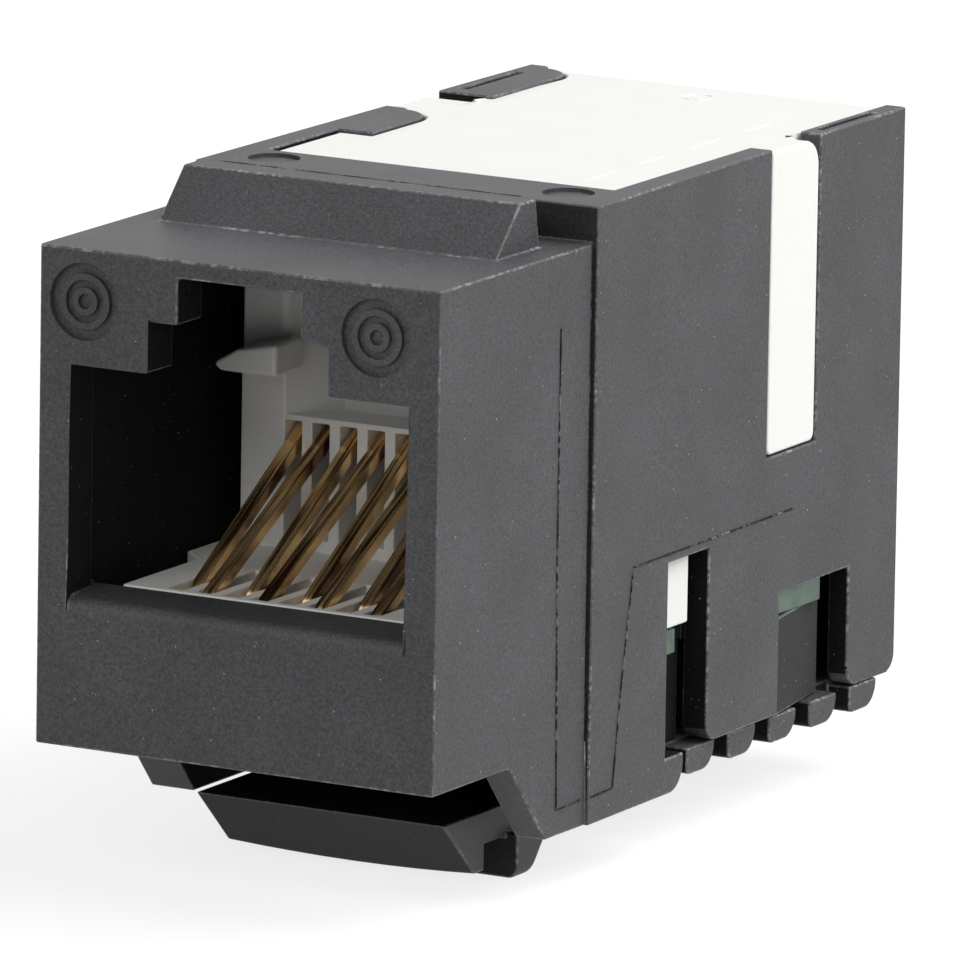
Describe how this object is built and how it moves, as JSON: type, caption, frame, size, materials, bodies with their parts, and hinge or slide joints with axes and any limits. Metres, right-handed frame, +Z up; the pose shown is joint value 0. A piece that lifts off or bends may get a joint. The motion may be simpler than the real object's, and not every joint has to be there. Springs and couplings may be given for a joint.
{
  "type": "keystone jack",
  "caption": "Snap-in modular network socket with a stepped plug opening, spring contacts, a flexing latch and a white lid over the wire terminals.",
  "frame": {"origin": "centre of the jack's footprint, at the height of the latch's lowest face", "axes": "+Y from the front face to the rear, +Z up towards the top catch, +X to the right seen from the front"},
  "size_m": [0.0148, 0.0312, 0.0225],
  "materials": {
    "black_plastic": "fine texture",
    "white_plastic": "satin",
    "gold_wire": "plated",
    "terminal_metal": "tinned",
    "board": "lacquered"
  },
  "bodies": {
    "jack": {"housing": "black_plastic", "base_cover": "black_plastic", "circuit_board": "board", "contact_carrier": "white_plastic", "terminal_block": "white_plastic", "idc_terminal_1": "terminal_metal", "idc_terminal_2": "terminal_metal", "idc_terminal_3": "terminal_metal", "idc_terminal_4": "terminal_metal", "idc_terminal_5": "terminal_metal", "idc_terminal_6": "terminal_metal", "idc_terminal_7": "terminal_metal", "idc_terminal_8": "terminal_metal"},
    "latch_arm": {"latch_arm": "black_plastic"},
    "wire_cap": {"wire_cap": "white_plastic"},
    "contact_1": {"contact_1": "gold_wire"},
    "contact_2": {"contact_2": "gold_wire"},
    "contact_3": {"contact_3": "gold_wire"},
    "contact_4": {"contact_4": "gold_wire"},
    "contact_5": {"contact_5": "gold_wire"},
    "contact_6": {"contact_6": "gold_wire"},
    "contact_7": {"contact_7": "gold_wire"},
    "contact_8": {"contact_8": "gold_wire"}
  },
  "joints": [
    {"name": "latch_flex", "type": "hinge", "parent": "jack", "child": "latch_arm", "pos_m": [0, -0.0006, 0.0019], "axis": [-1, 0, 0], "range_deg": [0, 12], "stiffness_Nm_per_rad": 0.4},
    {"name": "cap_slide", "type": "slide", "parent": "jack", "child": "wire_cap", "axis": [0, 0, 1], "range_m": [0, 0.011]},
    {"name": "contact_1_flex", "type": "hinge", "parent": "jack", "child": "contact_1", "pos_m": [-0.00357, -0.01185, 0.00685], "axis": [-1, 0, 0], "range_deg": [0, 6], "stiffness_Nm_per_rad": 0.05},
    {"name": "contact_2_flex", "type": "hinge", "parent": "jack", "child": "contact_2", "pos_m": [-0.00255, -0.01295, 0.00685], "axis": [-1, 0, 0], "range_deg": [0, 6], "stiffness_Nm_per_rad": 0.05},
    {"name": "contact_3_flex", "type": "hinge", "parent": "jack", "child": "contact_3", "pos_m": [-0.00153, -0.01185, 0.00685], "axis": [-1, 0, 0], "range_deg": [0, 6], "stiffness_Nm_per_rad": 0.05},
    {"name": "contact_4_flex", "type": "hinge", "parent": "jack", "child": "contact_4", "pos_m": [-0.00051, -0.01295, 0.00685], "axis": [-1, 0, 0], "range_deg": [0, 6], "stiffness_Nm_per_rad": 0.05},
    {"name": "contact_5_flex", "type": "hinge", "parent": "jack", "child": "contact_5", "pos_m": [0.00051, -0.01185, 0.00685], "axis": [-1, 0, 0], "range_deg": [0, 6], "stiffness_Nm_per_rad": 0.05},
    {"name": "contact_6_flex", "type": "hinge", "parent": "jack", "child": "contact_6", "pos_m": [0.00153, -0.01295, 0.00685], "axis": [-1, 0, 0], "range_deg": [0, 6], "stiffness_Nm_per_rad": 0.05},
    {"name": "contact_7_flex", "type": "hinge", "parent": "jack", "child": "contact_7", "pos_m": [0.00255, -0.01185, 0.00685], "axis": [-1, 0, 0], "range_deg": [0, 6], "stiffness_Nm_per_rad": 0.05},
    {"name": "contact_8_flex", "type": "hinge", "parent": "jack", "child": "contact_8", "pos_m": [0.00357, -0.01295, 0.00685], "axis": [-1, 0, 0], "range_deg": [0, 6], "stiffness_Nm_per_rad": 0.05}
  ]
}
